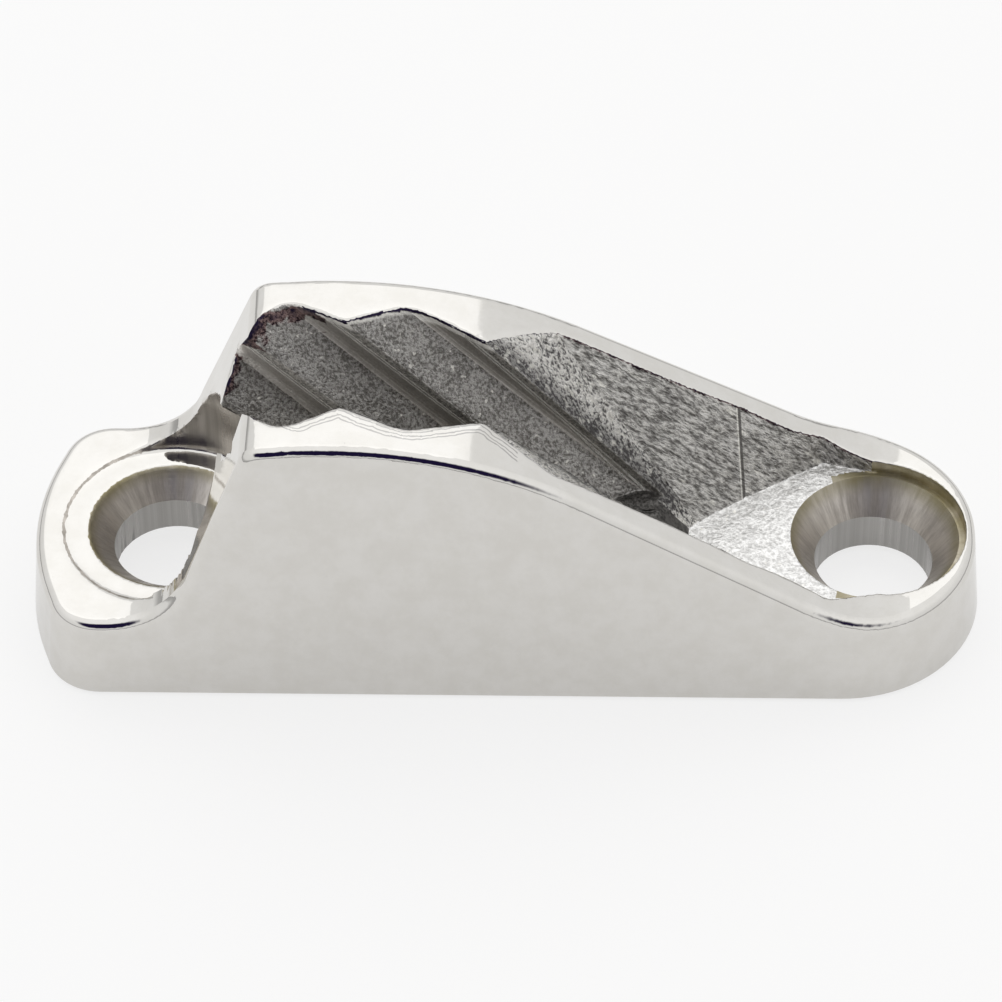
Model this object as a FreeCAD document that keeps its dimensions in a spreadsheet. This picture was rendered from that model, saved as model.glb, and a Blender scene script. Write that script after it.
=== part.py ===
# Jam cleat: one stainless casting that grips a rope in an open V groove with slanted ridges.
# Millimetres. X runs from the high front end (-) to the low rear end (+), Y across, Z up.
# The origin is the middle of the flat base.
import FreeCAD, Part
import math
import os
import Sketcher

V = FreeCAD.Vector

# Driving dimensions: name, value, meaning. Angles are in degrees, the rest in millimetres.
SIZES = [
    ("length", 66.7, "overall length at the base"),
    ("width", 20.6, "overall width at the base"),
    ("height", 22.5, "base to the top of the crown"),
    ("draft", 4.6, "casting draft of the outer sides"),
    ("nose_radius", 19.0, "plan radius of the front end"),
    ("nose_sweep", 20.0, "plan angle of the front end beside the nose"),
    ("nose_corner", 4.0, "plan radius of the front corners"),
    ("rear_corner", 10.0, "plan radius of the rear corners"),
    ("rear_flat", 0.6, "least straight run across the rear end, between its two rounds"),
    ("front_lug", 6.6, "height of the front lug"),
    ("rear_lug", 6.8, "height of the rear lug"),
    ("face_inset", 10.1, "front end to the foot of the jaws' front face"),
    ("face_angle", 69.0, "slope of the jaws' front face"),
    ("face_root", 6.0, "hollow radius between front lug and front face"),
    ("face_round", 1.8, "round between front face and crown"),
    ("crown_inset", 21.4, "front end to the highest point of the crown"),
    ("crown_flat", 0.4, "level run at the highest point of the crown"),
    ("crown_radius", 33.7, "side-view radius of the crown, towards the ramp"),
    ("crown_fall", 7.0, "slope of the crown where it meets the front round"),
    ("crown_lead", 0.3, "short straight between that round and the crown"),
    ("ramp_inset", 9.5, "rear end to the foot of the ramp"),
    ("ramp_root", 15.0, "hollow radius between ramp and rear lug"),
    ("edge_round", 0.8, "round along the outer top edge"),
    ("base_bevel", 0.35, "bevel along the base edge"),
    ("jaw_gap", 8.1, "gap between the ridge crests at crown height"),
    ("jaw_angle", 15.0, "lean of each jaw from upright"),
    ("jaw_root_round", 0.3, "radius in the bottom of the V groove"),
    ("ridge_slope", 40.4, "fall of the ridges towards the rear, in side view"),
    ("ridge_pitch", 8.04, "spacing of the ridges along the cleat"),
    ("ridge_inset", 30.3, "front end to the last ridge crest, at crown height"),
    ("ridge_depth", 2.05, "depth of the valleys between the ridges"),
    ("ridge_round", 2.0, "radius in the bottom of each valley"),
    ("ridge_count", 3, "valleys on each jaw"),
    ("mouth_floor", 5.9, "height of the flat floor in the rear mouth"),
    ("mouth_tip_inset", 20.5, "rear end to the tip of that floor"),
    ("mouth_tip", 1.2, "half width of the floor at its tip"),
    ("mouth_foot_sweep", 32.0, "plan angle of the floor's sides"),
    ("mouth_wall_sweep", 25.3, "plan angle of the mouth walls at crown height, to the crease"),
    ("mouth_shoulder", 4.4, "half width gained by the mouth beside the last crest"),
    ("mouth_shoulder_run", 3.7, "length of that shoulder along the cleat"),
    ("mouth_crease_inset", 16.55, "rear end to the upright crease in the mouth walls"),
    ("mouth_wide_inset", 10.95, "rear end to the widest place of the mouth's floor"),
    ("mouth_wide_top", 13.0, "half width there at crown height"),
    ("mouth_floor_corner", 0.8, "plan radius of that wide corner at the floor"),
    ("mouth_top_corner", 3.0, "plan radius of that wide corner at crown height"),
    ("front_bore_inset", 10.0, "front end to the front screw axis"),
    ("rear_bore_inset", 7.5, "rear end to the rear screw axis"),
    ("bore", 8.3, "diameter of the screw holes"),
    ("bore_flare", 0.7, "chamfer where the rear hole leaves the base"),
    ("front_flare", 2.0, "chamfer where the front hole leaves the base"),
    ("sink", 11.8, "diameter of the countersinks"),
    ("front_sink_depth", 1.75, "depth of the front countersink"),
    ("rear_sink_depth", 2.3, "depth of the rear countersink"),
    ("front_seat", 6.4, "height of the front screw seat"),
    ("front_seat_width", 15.2, "diameter of the front screw seat"),
    ("front_dome_top", 17.0, "height of the top of the front recess"),
    ("front_dome_round", 7.2, "radius that closes in the front recess"),
    ("rear_seat_width", 12.7, "diameter of the rear screw seat"),
]

SHEET_NAME = "Sizes"
NODE = "cleat_body"
CLEAR = 2.0             # how far cutting shapes run past the metal they cut
TOUCH = 0.01            # closest distance that still counts as touching the base
LEAST_CUT = 0.5         # volume that every cut has to take away, in cubic millimetres
VALLEY_FLATS = 2        # flats on each side of a valley's rounded bottom
VALLEY_OVERLAP = 0.05   # start of the valley cut inside the V, as a share of its depth
TIP_BEVEL = 0.5         # bevel at the floor's tip, as a share of the tip's half width
ROUND_SHARE = 0.9       # most of its straight run that a hollow or round may take up


class Size:
    """A number and the sheet formula that gives it, so that both follow every sum."""

    def __init__(self, value, formula):
        self.value = value
        self.formula = formula

    def join(self, sign, other):
        left, right = (self, other if isinstance(other, Size) else Size(other, repr(other)))
        values = {"+": left.value + right.value, "-": left.value - right.value,
                  "*": left.value * right.value}
        value = left.value / right.value if sign == "/" else values[sign]
        return Size(value, f"({left.formula} {sign} {right.formula})")

    def __add__(self, other):
        return self.join("+", other)

    def __sub__(self, other):
        return self.join("-", other)

    def __mul__(self, other):
        return self.join("*", other)

    def __truediv__(self, other):
        return self.join("/", other)

    def __neg__(self):
        return Size(-self.value, f"(-1 * {self.formula})")


ZERO = Size(0.0, "0")


def sine(angle):
    return Size(math.sin(math.radians(angle.value)), f"sin({angle.formula})")


def cosine(angle):
    return Size(math.cos(math.radians(angle.value)), f"cos({angle.formula})")


def tangent(angle):
    return Size(math.tan(math.radians(angle.value)), f"tan({angle.formula})")


def angle_from_sine(ratio):
    return Size(math.degrees(math.asin(ratio.value)), f"(asin({ratio.formula}) / 1 deg)")


def angle_from_tangent(ratio):
    return Size(math.degrees(math.atan(ratio.value)), f"(atan({ratio.formula}) / 1 deg)")


def root_of_squares(a, b):
    return Size(math.hypot(a.value, b.value), f"sqrt({a.formula} ^ 2 + {b.formula} ^ 2)")


def smaller(a, b):
    return Size(min(a.value, b.value), f"min({a.formula}; {b.formula})")


def make_sheet(doc):
    """The driving dimensions, one row each: meaning in column A, value in column B."""
    sheet = doc.addObject("Spreadsheet::Sheet", SHEET_NAME)
    for row, (name, value, meaning) in enumerate(SIZES, start=1):
        sheet.set(f"A{row}", meaning)
        sheet.set(f"B{row}", str(value))
        sheet.setAlias(f"B{row}", name)
    doc.recompute()
    return {name: Size(float(value), f"{SHEET_NAME}.{name}") for name, value, meaning in SIZES}


def origin_item(body, role):
    return next(item for item in body.Origin.OriginFeatures if item.Role == role)


def new_sketch(body, name, role, offset=ZERO, shift=ZERO):
    """A sketch on one of the body's own planes, lifted off it and shifted along its x."""
    sketch = body.newObject("Sketcher::SketchObject", name)
    sketch.AttachmentSupport = [(origin_item(body, role), "")]
    sketch.MapMode = "FlatFace"
    place = V(shift.value, 0, offset.value)
    sketch.AttachmentOffset = FreeCAD.Placement(place, FreeCAD.Rotation())
    sketch.setExpression("AttachmentOffset.Base.x", shift.formula)
    sketch.setExpression("AttachmentOffset.Base.z", offset.formula)
    return sketch


def pin_point(sketch, geometry, end, x, y):
    """Hold a point of the sketch at a place given by two sizes."""
    for kind, size in (("DistanceX", x), ("DistanceY", y)):
        index = sketch.addConstraint(
            Sketcher.Constraint(kind, -1, 1, geometry, end, size.value))
        sketch.setExpression(f"Constraints[{index}]", size.formula)


def pin_radius(sketch, geometry, radius):
    index = sketch.addConstraint(Sketcher.Constraint("Radius", geometry, radius.value))
    sketch.setExpression(f"Constraints[{index}]", radius.formula)


def corner_fit(before, at, after, radius):
    """Where a round of this radius leaves the two straight runs of a corner, and its centre."""
    point = V(at[0].value, at[1].value, 0)
    back = (V(before[0].value, before[1].value, 0) - point).normalize()
    ahead = (V(after[0].value, after[1].value, 0) - point).normalize()
    half = back.getAngle(ahead) / 2
    reach = radius / math.tan(half)
    centre = point + (back + ahead).normalize() * (radius / math.sin(half))
    return point + back * reach, point + ahead * reach, centre


def draw_outline(sketch, corners):
    """A closed outline of straight runs. Each corner is (x, y) or (x, y, radius)."""
    count = len(corners)
    fits = []
    for index, corner in enumerate(corners):
        if len(corner) == 3:
            before, after = corners[index - 1], corners[(index + 1) % count]
            fits.append(corner_fit(before, corner, after, corner[2].value))
        else:
            point = V(corner[0].value, corner[1].value, 0)
            fits.append((point, point, None))
    lines = []
    for index in range(count):
        start, end = fits[index][1], fits[(index + 1) % count][0]
        lines.append(sketch.addGeometry(Part.LineSegment(start, end), False))
    for index, corner in enumerate(corners):
        arriving, leaving = lines[index - 1], lines[index]
        if len(corner) == 3:
            draw_round(sketch, arriving, leaving, corner, fits[index])
        else:
            sketch.addConstraint(Sketcher.Constraint("Coincident", arriving, 2, leaving, 1))
            pin_point(sketch, leaving, 1, corner[0], corner[1])


def draw_round(sketch, arriving, leaving, corner, fit):
    """A tangent arc across a corner, with the sharp corner kept as a reference point."""
    first, last, centre = fit
    start, end = first - centre, last - centre
    turns_left = start.cross(end).z > 0
    if not turns_left:
        start, end = end, start
    circle = Part.Circle(centre, V(0, 0, 1), corner[2].value)
    angles = (math.atan2(start.y, start.x), math.atan2(end.y, end.x))
    arc = sketch.addGeometry(Part.ArcOfCircle(circle, *angles), False)
    near_end, far_end = (1, 2) if turns_left else (2, 1)
    sketch.addConstraint(Sketcher.Constraint("Tangent", arriving, 2, arc, near_end))
    sketch.addConstraint(Sketcher.Constraint("Tangent", arc, far_end, leaving, 1))
    pin_radius(sketch, arc, corner[2])
    sharp = sketch.addGeometry(Part.Point(V(corner[0].value, corner[1].value, 0)), True)
    pin_point(sketch, sharp, 1, corner[0], corner[1])
    sketch.addConstraint(Sketcher.Constraint("PointOnObject", sharp, 1, arriving))
    sketch.addConstraint(Sketcher.Constraint("PointOnObject", sharp, 1, leaving))


def from_front(size, inset):
    return inset - size["length"] / 2


def from_rear(size, inset):
    return size["length"] / 2 - inset


def plan_corners(size):
    """The base outline: a blunt bow at the front and a nearly round rear end."""
    half = size["width"] / 2
    swell = size["nose_radius"] / cosine(size["nose_sweep"]) - size["nose_radius"]
    nose = -(size["length"] / 2) - swell
    cheek = nose + half * tangent(size["nose_sweep"])
    rear = size["length"] / 2
    rear_round = smaller(size["rear_corner"], half - size["rear_flat"] / 2)
    return [
        (nose, ZERO, size["nose_radius"]),
        (cheek, -half, size["nose_corner"]),
        (rear, -half, rear_round),
        (rear, half, rear_round),
        (cheek, half, size["nose_corner"]),
    ]


def crown_ends(size):
    """The crown's level run lies about its highest point. Returns its front and rear end."""
    highest = from_front(size, size["crown_inset"])
    return highest - size["crown_flat"] / 2, highest + size["crown_flat"] / 2


def front_top(size):
    """The sharp corner of front face and crown, from the crown's fall at its front round."""
    fall = size["crown_fall"]
    rise = tangent(size["face_angle"])
    half_fall = tangent(fall / 2)
    level = crown_ends(size)[0]
    foot = from_front(size, size["face_inset"])
    run = size["face_round"] * tangent((size["face_angle"] - fall) / 2) + size["crown_lead"]
    drop = (level - run * cosine(fall)) * half_fall + run * sine(fall)
    x = (size["height"] - size["front_lug"] - drop + foot * rise) / (rise - half_fall)
    return x, size["front_lug"] + (x - foot) * rise, run


def front_crown_arc(size):
    """The arc from the front round up to the level run: its sharp corner's x and its radius."""
    x, z, run = front_top(size)
    fall = size["crown_fall"]
    level = crown_ends(size)[0]
    start = x + run * cosine(fall)
    radius = (level - start) / sine(fall)
    return level - radius * tangent(fall / 2), radius


def ramp_line(size):
    """The ramp touches the crown's arc and meets the rear lug at its foot. Returns its foot, its
    slope, and the length of the straight between them."""
    foot = from_rear(size, size["ramp_inset"])
    radius = size["crown_radius"]
    rise = size["rear_lug"] - (size["height"] - radius)
    run = foot - crown_ends(size)[1]
    reach = root_of_squares(run, rise)
    slope = angle_from_sine(radius / reach) - angle_from_tangent(rise / run)
    return foot, slope, reach * cosine(angle_from_sine(radius / reach))


def ramp_hollow(size):
    """Radius of the hollow at the foot of the ramp, limited by the ramp's straight."""
    foot, slope, straight = ramp_line(size)
    return smaller(size["ramp_root"], straight * ROUND_SHARE / tangent(slope / 2))


def profile_corners(size):
    """What the side profile takes away: everything above lug, jaws, ramp and rear lug."""
    front_x, front_z = front_top(size)[:2]
    crown_x, front_radius = front_crown_arc(size)
    ramp_foot, slope = ramp_line(size)[:2]
    shoulder_x = crown_ends(size)[1] + size["crown_radius"] * tangent(slope / 2)
    ahead = -(size["length"] / 2) - CLEAR
    behind = size["length"] / 2 + CLEAR
    above = size["height"] + CLEAR * 2
    return [
        (ahead, size["front_lug"]),
        (from_front(size, size["face_inset"]), size["front_lug"], size["face_root"]),
        (front_x, front_z, size["face_round"]),
        (crown_x, size["height"], front_radius),
        (shoulder_x, size["height"], size["crown_radius"]),
        (ramp_foot, size["rear_lug"], ramp_hollow(size)),
        (behind, size["rear_lug"]),
        (behind, above),
        (ahead, above),
    ]


def make_casting(body, size):
    """The drafted block, cut to the side profile."""
    plan = new_sketch(body, "plan", "XY_Plane")
    draw_outline(plan, plan_corners(size))
    block = body.newObject("PartDesign::Pad", "block")
    block.Profile = plan
    block.setExpression("Length", (size["height"] + CLEAR).formula)
    block.setExpression("TaperAngle", (-size["draft"]).formula)
    profile = new_sketch(body, "side_profile", "XZ_Plane")
    draw_outline(profile, profile_corners(size))
    shape_cut = body.newObject("PartDesign::Pocket", "profile_cut")
    shape_cut.Profile = profile
    shape_cut.Type = "ThroughAll"
    shape_cut.Midplane = True


def top_rim_edges(shape):
    """Every edge between the drafted sides and the faces above them."""
    names = []
    for index, edge in enumerate(shape.Edges, start=1):
        faces = shape.ancestorsOfType(edge, Part.Face)
        sides = [is_side(face) for face in faces]
        if sides.count(True) == 1 and edge.BoundBox.ZMax > TOUCH:
            names.append(f"Edge{index}")
    return names


def is_side(face):
    """True for a face of the drafted outer side, which rises from the base outline."""
    return face.BoundBox.ZMin < TOUCH < face.BoundBox.ZMax


def round_top_rim(body, size):
    tip = body.Tip
    rim = body.newObject("PartDesign::Fillet", "top_rim")
    rim.Base = (tip, top_rim_edges(tip.Shape))
    rim.setExpression("Radius", size["edge_round"].formula)


def base_edges(shape):
    return [f"Edge{index}" for index, edge in enumerate(shape.Edges, start=1)
            if edge.BoundBox.ZMax < TOUCH]


def bevel_base(body, size):
    tip = body.Tip
    base = body.newObject("PartDesign::Chamfer", "base_rim")
    base.Base = (tip, base_edges(tip.Shape))
    base.setExpression("Size", size["base_bevel"].formula)


def crest_half_gap(size, z):
    """Half the gap between the ridge crests at height z."""
    return size["jaw_gap"] / 2 - (size["height"] - z) * tangent(size["jaw_angle"])


def v_apex(size):
    """Height at which the two sides of the V would meet."""
    return size["height"] - size["jaw_gap"] / 2 / tangent(size["jaw_angle"])


def v_bottom(size):
    """Height of the rounded bottom of the V groove."""
    radius = size["jaw_root_round"]
    return v_apex(size) + radius / sine(size["jaw_angle"]) - radius


def cut_v_groove(body, size):
    """The V between the ridge crests, with a small round at its bottom."""
    top = size["height"] + CLEAR
    half_top = crest_half_gap(size, top)
    sketch = new_sketch(body, "v_section", "YZ_Plane")
    draw_outline(sketch, [
        (half_top, top),
        (-half_top, top),
        (ZERO, v_apex(size), size["jaw_root_round"]),
    ])
    groove = body.newObject("PartDesign::Pocket", "v_groove")
    groove.Profile = sketch
    groove.Type = "ThroughAll"
    groove.Midplane = True


def ridge_direction(size):
    """Along a ridge of the far jaw: to the rear, inwards and down."""
    fall = tangent(size["ridge_slope"])
    return Size(1.0, "1"), -(fall * tangent(size["jaw_angle"])), -fall


def valley_floor(size):
    """Half section of a valley's rounded bottom as flats that touch the round, from the middle
    out. Each corner is (distance from the middle of the valley, depth below the crests)."""
    radius = size["ridge_round"]
    flank = angle_from_tangent(size["ridge_depth"] / (size["ridge_pitch"] / 2))
    turn = flank / VALLEY_FLATS
    centre = size["ridge_depth"] - radius / cosine(flank)
    corners = []
    for step in range(VALLEY_FLATS):
        angle = turn * (step + 0.5)
        reach = radius / cosine(turn / 2)
        corners.append((reach * sine(angle), centre + reach * cosine(angle)))
    return corners


def cut_ridge_valleys(body, size):
    """One slanted valley in the far jaw, repeated along it and mirrored to the near jaw."""
    crest = crest_half_gap(size, size["height"])
    inside = crest - size["ridge_depth"] * VALLEY_OVERLAP
    last = from_front(size, size["ridge_inset"])
    first = last - size["ridge_pitch"]
    middle = (first + last) / 2
    half = valley_floor(size)
    sketch = new_sketch(body, "valley_section", "XY_Plane", size["height"])
    draw_outline(sketch, [
        (first, inside),
        (last, inside),
        (last, crest),
        *[(middle + along, crest + depth) for along, depth in half[::-1]],
        *[(middle - along, crest + depth) for along, depth in half],
        (first, crest),
    ])
    valley = body.newObject("PartDesign::Pocket", "ridge_valley")
    valley.Profile = sketch
    slant_cut(valley, ridge_direction(size))
    valley.setExpression("Length", (size["height"] - v_bottom(size)).formula)
    repeat_valley(body, size, valley)


def slant_cut(feature, direction):
    """Make a pocket run along a slanted direction, its length still measured straight down."""
    feature.UseCustomVector = True
    feature.AlongSketchNormal = True
    feature.Direction = V(*[part.value for part in direction])
    for axis, part in zip("xyz", direction):
        feature.setExpression(f"Direction.{axis}", part.formula)


def repeat_valley(body, size, valley):
    """The valleys of both jaws: a row along the cleat, mirrored over the middle plane."""
    row = body.Document.addObject("PartDesign::LinearPattern", "valley_row")
    row.Direction = (origin_item(body, "X_Axis"), [""])
    row.Reversed = True
    row.setExpression("Occurrences", size["ridge_count"].formula)
    row.setExpression("Length", (size["ridge_pitch"] * (size["ridge_count"] - 1.0)).formula)
    pair = body.Document.addObject("PartDesign::Mirrored", "valley_pair")
    pair.MirrorPlane = (origin_item(body, "XZ_Plane"), [""])
    valleys = body.newObject("PartDesign::MultiTransform", "ridge_valleys")
    valleys.Originals = [valley]
    valleys.Transformations = [row, pair]
    body.Tip = valleys


def rear_seat_side(size):
    """The point of the round rear screw seat that lies farthest from the middle plane."""
    return from_rear(size, size["rear_bore_inset"]), size["rear_seat_width"] / 2


def mouth_floor_corners(size):
    """Half outline of the mouth's floor: it widens from its tip, then meets the screw seat."""
    tip = from_rear(size, size["mouth_tip_inset"])
    crease = from_rear(size, size["mouth_crease_inset"])
    wide = from_rear(size, size["mouth_wide_inset"])
    narrow = size["mouth_tip"]
    bevel = narrow * TIP_BEVEL
    spread = tangent(size["mouth_foot_sweep"])
    return [
        (tip, narrow - bevel),
        (tip + bevel, narrow),
        (crease, narrow + (crease - tip) * spread),
        (wide, narrow + (wide - tip) * spread, size["mouth_floor_corner"]),
        rear_seat_side(size),
    ]


def mouth_top_corners(size):
    """Half outline of the mouth at crown height: it starts at the last ridge crest."""
    crest = from_front(size, size["ridge_inset"])
    crease = from_rear(size, size["mouth_crease_inset"])
    wide = from_rear(size, size["mouth_wide_inset"])
    crest_y = crest_half_gap(size, size["height"])
    shoulder_x = crest + size["mouth_shoulder_run"]
    shoulder_y = crest_y + size["mouth_shoulder"]
    return [
        (crest, crest_y),
        (shoulder_x, shoulder_y),
        (crease, shoulder_y + (crease - shoulder_x) * tangent(size["mouth_wall_sweep"])),
        (wide, size["mouth_wide_top"], size["mouth_top_corner"]),
        rear_seat_side(size),
    ]


def cut_rear_mouth(body, size):
    """The open mouth: a loft from the floor up to the wide outline at crown height."""
    floor = new_sketch(body, "mouth_floor_outline", "XY_Plane", size["mouth_floor"])
    draw_outline(floor, mirrored(mouth_floor_corners(size)))
    top = new_sketch(body, "mouth_top_outline", "XY_Plane", size["height"])
    draw_outline(top, mirrored(mouth_top_corners(size)))
    mouth = body.newObject("PartDesign::SubtractiveLoft", "rear_mouth")
    mouth.Profile = floor
    mouth.Sections = [top]
    mouth.Ruled = True


def mirrored(half):
    """A full outline from the half on the far side of the middle plane."""
    near = [(corner[0], -corner[1], *corner[2:]) for corner in half]
    return near + half[::-1]


def cut_turned(body, name, inset_x, corners):
    """A cut turned about an upright axis at inset_x. Its half section is (radius, height)."""
    sketch = new_sketch(body, f"{name}_section", "XZ_Plane", shift=inset_x)
    draw_outline(sketch, corners)
    turned = body.newObject("PartDesign::Groove", name)
    turned.Profile = sketch
    turned.ReferenceAxis = (sketch, ["V_Axis"])
    turned.Angle = 360


def bore_corners(size, seat, sink_depth, flare):
    """Half section of a screw hole, from below the base up to the rim of its countersink."""
    below = Size(-CLEAR, str(-CLEAR))
    radius = size["bore"] / 2
    return [
        (ZERO, below),
        (radius + flare + CLEAR, below),
        (radius, flare),
        (radius, seat - sink_depth),
        (size["sink"] / 2, seat),
    ]


def cut_front_screw_seat(body, size):
    """Bore, countersink and the domed recess that clears the jaws over the front screw."""
    seat = size["front_seat"]
    wide = size["front_seat_width"] / 2
    top = size["front_dome_top"]
    bore = bore_corners(size, seat, size["front_sink_depth"], size["front_flare"])
    corners = bore + [
        (wide, seat),
        (wide, top, size["front_dome_round"]),
        (ZERO, top),
    ]
    cut_turned(body, "front_screw_seat", from_front(size, size["front_bore_inset"]), corners)


def cut_rear_screw_seat(body, size):
    """Bore, countersink and the shallow seat, level with the mouth's floor."""
    seat = size["mouth_floor"]
    wide = size["rear_seat_width"] / 2
    above = size["rear_lug"] + CLEAR
    bore = bore_corners(size, seat, size["rear_sink_depth"], size["bore_flare"])
    corners = bore + [
        (wide, seat),
        (wide, above),
        (ZERO, above),
    ]
    cut_turned(body, "rear_screw_seat", from_rear(size, size["rear_bore_inset"]), corners)


def recompute_and_check(doc, body):
    """Stop at the first feature that failed, with its name."""
    doc.recompute()
    for item in doc.Objects:
        if "Invalid" in item.State or "Error" in item.State:
            raise RuntimeError(f"{item.Name} failed: {item.State}")
    if body.Shape.isNull() or not body.Shape.isValid():
        raise RuntimeError(f"{body.Tip.Name} left no valid shape")


def make_cuts(doc, body, size):
    """Every cut in the casting. Each one has to take metal away."""
    for cut in (cut_v_groove, cut_ridge_valleys, cut_rear_mouth,
                cut_front_screw_seat, cut_rear_screw_seat):
        before = body.Shape.Volume
        cut(body, size)
        recompute_and_check(doc, body)
        if before - body.Shape.Volume < LEAST_CUT:
            raise RuntimeError(f"{body.Tip.Name} cut nothing away")


def export_part(body):
    box = body.Shape.BoundBox
    print(f"{NODE}: {box.XLength:.2f} x {box.YLength:.2f} x {box.ZLength:.2f} mm,"
          f" {body.Shape.Volume:.0f} mm3, {len(body.Shape.Faces)} faces")
    os.makedirs("parts", exist_ok=True)
    body.Shape.exportStep(f"parts/{NODE}.step")


def main():
    doc = FreeCAD.newDocument("jam_cleat")
    size = make_sheet(doc)
    body = doc.addObject("PartDesign::Body", NODE)
    body.Label = NODE
    for step in (make_casting, round_top_rim, bevel_base):
        step(body, size)
        recompute_and_check(doc, body)
    make_cuts(doc, body, size)
    export_part(body)


main()
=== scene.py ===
# %% [markdown]
# # A jam cleat in stainless steel
#
# A jam cleat is one small casting that grips a rope. The rope drops into a V groove whose two jaws
# carry slanted ridges, and a pull on the rope drags it down between them. The outside of such a
# casting is polished to a mirror, while the groove keeps the grain of the mould. This lesson dresses
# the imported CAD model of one: camera, floor, light, the casting's fine shape, and its finishes.

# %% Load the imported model
import math

import bmesh
import bpy
from mathutils import Matrix, Vector, noise
from mathutils.bvhtree import BVHTree
from mathutils.geometry import barycentric_transform
from mathutils.kdtree import KDTree


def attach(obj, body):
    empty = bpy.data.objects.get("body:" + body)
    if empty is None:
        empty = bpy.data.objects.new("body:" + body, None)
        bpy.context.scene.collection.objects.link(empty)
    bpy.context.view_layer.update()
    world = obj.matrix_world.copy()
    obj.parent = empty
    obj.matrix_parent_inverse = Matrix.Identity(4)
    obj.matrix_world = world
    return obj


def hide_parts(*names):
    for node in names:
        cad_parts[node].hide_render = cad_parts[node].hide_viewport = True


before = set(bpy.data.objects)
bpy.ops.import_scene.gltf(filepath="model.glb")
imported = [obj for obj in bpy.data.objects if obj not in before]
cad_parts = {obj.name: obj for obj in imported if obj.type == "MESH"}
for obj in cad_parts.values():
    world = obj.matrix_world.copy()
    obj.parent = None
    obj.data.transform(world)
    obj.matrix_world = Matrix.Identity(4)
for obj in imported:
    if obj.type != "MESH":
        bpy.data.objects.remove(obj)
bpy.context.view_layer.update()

MM = 0.001
print("nodes", sorted(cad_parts))

# %% [markdown]
# ## Camera
#
# The photograph looks down on the cleat's side at about 46 degrees, through a long lens: the far
# jaw is almost as large as the near one. The place of the camera was fitted to some twenty points
# of the object. A camera in Blender looks along its own -Z, so its matrix holds the right, up and
# backward directions as columns, then the place.

# %% Camera
scene = bpy.context.scene
VIEW_ELEVATION = math.radians(46.0)
VIEW_TURN = math.radians(-1.387)
VIEW_ROLL = math.radians(-0.488)
VIEW_DISTANCE = 350.624 * MM
VIEW_TARGET = Vector((-0.293, 0.0, 9.164)) * MM
FOCAL_PIXELS = 5037.243
IMAGE_PIXELS = 1002
SENSOR_WIDTH = 36.0
CLIP_START = 0.01

forward = Vector((math.sin(VIEW_TURN) * math.cos(VIEW_ELEVATION),
                  math.cos(VIEW_TURN) * math.cos(VIEW_ELEVATION),
                  -math.sin(VIEW_ELEVATION)))
level_right = Vector((math.cos(VIEW_TURN), -math.sin(VIEW_TURN), 0.0))
level_up = level_right.cross(forward)
right = level_right * math.cos(VIEW_ROLL) + level_up * math.sin(VIEW_ROLL)
up = level_up * math.cos(VIEW_ROLL) - level_right * math.sin(VIEW_ROLL)
camera_place = VIEW_TARGET - forward * VIEW_DISTANCE

camera_data = bpy.data.cameras.new("photo_camera")
camera_data.sensor_width = SENSOR_WIDTH
camera_data.lens = FOCAL_PIXELS * SENSOR_WIDTH / IMAGE_PIXELS
camera_data.clip_start = CLIP_START
camera = bpy.data.objects.new("photo_camera", camera_data)
camera.matrix_world = Matrix((
    (right.x, up.x, -forward.x, camera_place.x),
    (right.y, up.y, -forward.y, camera_place.y),
    (right.z, up.z, -forward.z, camera_place.z),
    (0.0, 0.0, 0.0, 1.0)))
scene.collection.objects.link(camera)
scene.camera = camera
print("lens", round(camera_data.lens, 2), "mm at", [round(value, 4) for value in camera_place])

# %% [markdown]
# ## Helpers for node trees
#
# Every material is a small graph. The first helpers add a node with its values and join two sockets.
# The others stand for what returns everywhere: a chain of sums, an eased step, a noise and a blend.
# With them, the cells below read like a list of what feeds what.

# %% Node helpers
def add_node(tree, kind, values=None, **settings):
    node = tree.nodes.new(kind)
    for key, value in settings.items():
        setattr(node, key, value)
    for key, value in (values or {}).items():
        node.inputs[key].default_value = value
    return node


def join(tree, source, target):
    tree.links.new(source, target)


def new_material(name):
    material = bpy.data.materials.new(name)
    material.use_nodes = True
    shader = material.node_tree.nodes["Principled BSDF"]
    return material, material.node_tree, shader


def feed(tree, value, target):
    """Give a socket a number, a colour or the output of another node."""
    if isinstance(value, tuple):
        target.default_value = (*value, 1.0)
    elif isinstance(value, (int, float)):
        target.default_value = value
    else:
        join(tree, value, target)


# %% Value helpers
def parts_of(tree, vector):
    """The X, Y and Z outputs of a vector."""
    parts = add_node(tree, "ShaderNodeSeparateXYZ")
    join(tree, vector, parts.inputs[0])
    return parts.outputs


def vector_of(tree, *values):
    vector = add_node(tree, "ShaderNodeCombineXYZ")
    for index, value in enumerate(values):
        feed(tree, value, vector.inputs[index])
    return vector.outputs[0]


def chain(tree, source, *steps):
    """Pass a value through math nodes, each given as (operation, second value)."""
    for operation, second in steps:
        step = add_node(tree, "ShaderNodeMath", operation=operation)
        join(tree, source, step.inputs[0])
        if second is not None:
            feed(tree, second, step.inputs[1])
        source = step.outputs[0]
    return source


def fade(tree, value, low, high, start=0.0, stop=1.0):
    """Ease a value from start to stop as it runs from low to high."""
    limits = {"From Min": low, "From Max": high, "To Min": start, "To Max": stop}
    ease = add_node(tree, "ShaderNodeMapRange", limits, interpolation_type="SMOOTHSTEP")
    join(tree, value, ease.inputs["Value"])
    return ease.outputs[0]


def noise_at(tree, place, scale, detail, roughness=0.6):
    """A noise texture on a vector, with its scale a number or a socket."""
    texture = add_node(tree, "ShaderNodeTexNoise", {"Detail": detail, "Roughness": roughness})
    join(tree, place, texture.inputs["Vector"])
    feed(tree, scale, texture.inputs["Scale"])
    return texture.outputs["Fac"]


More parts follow.
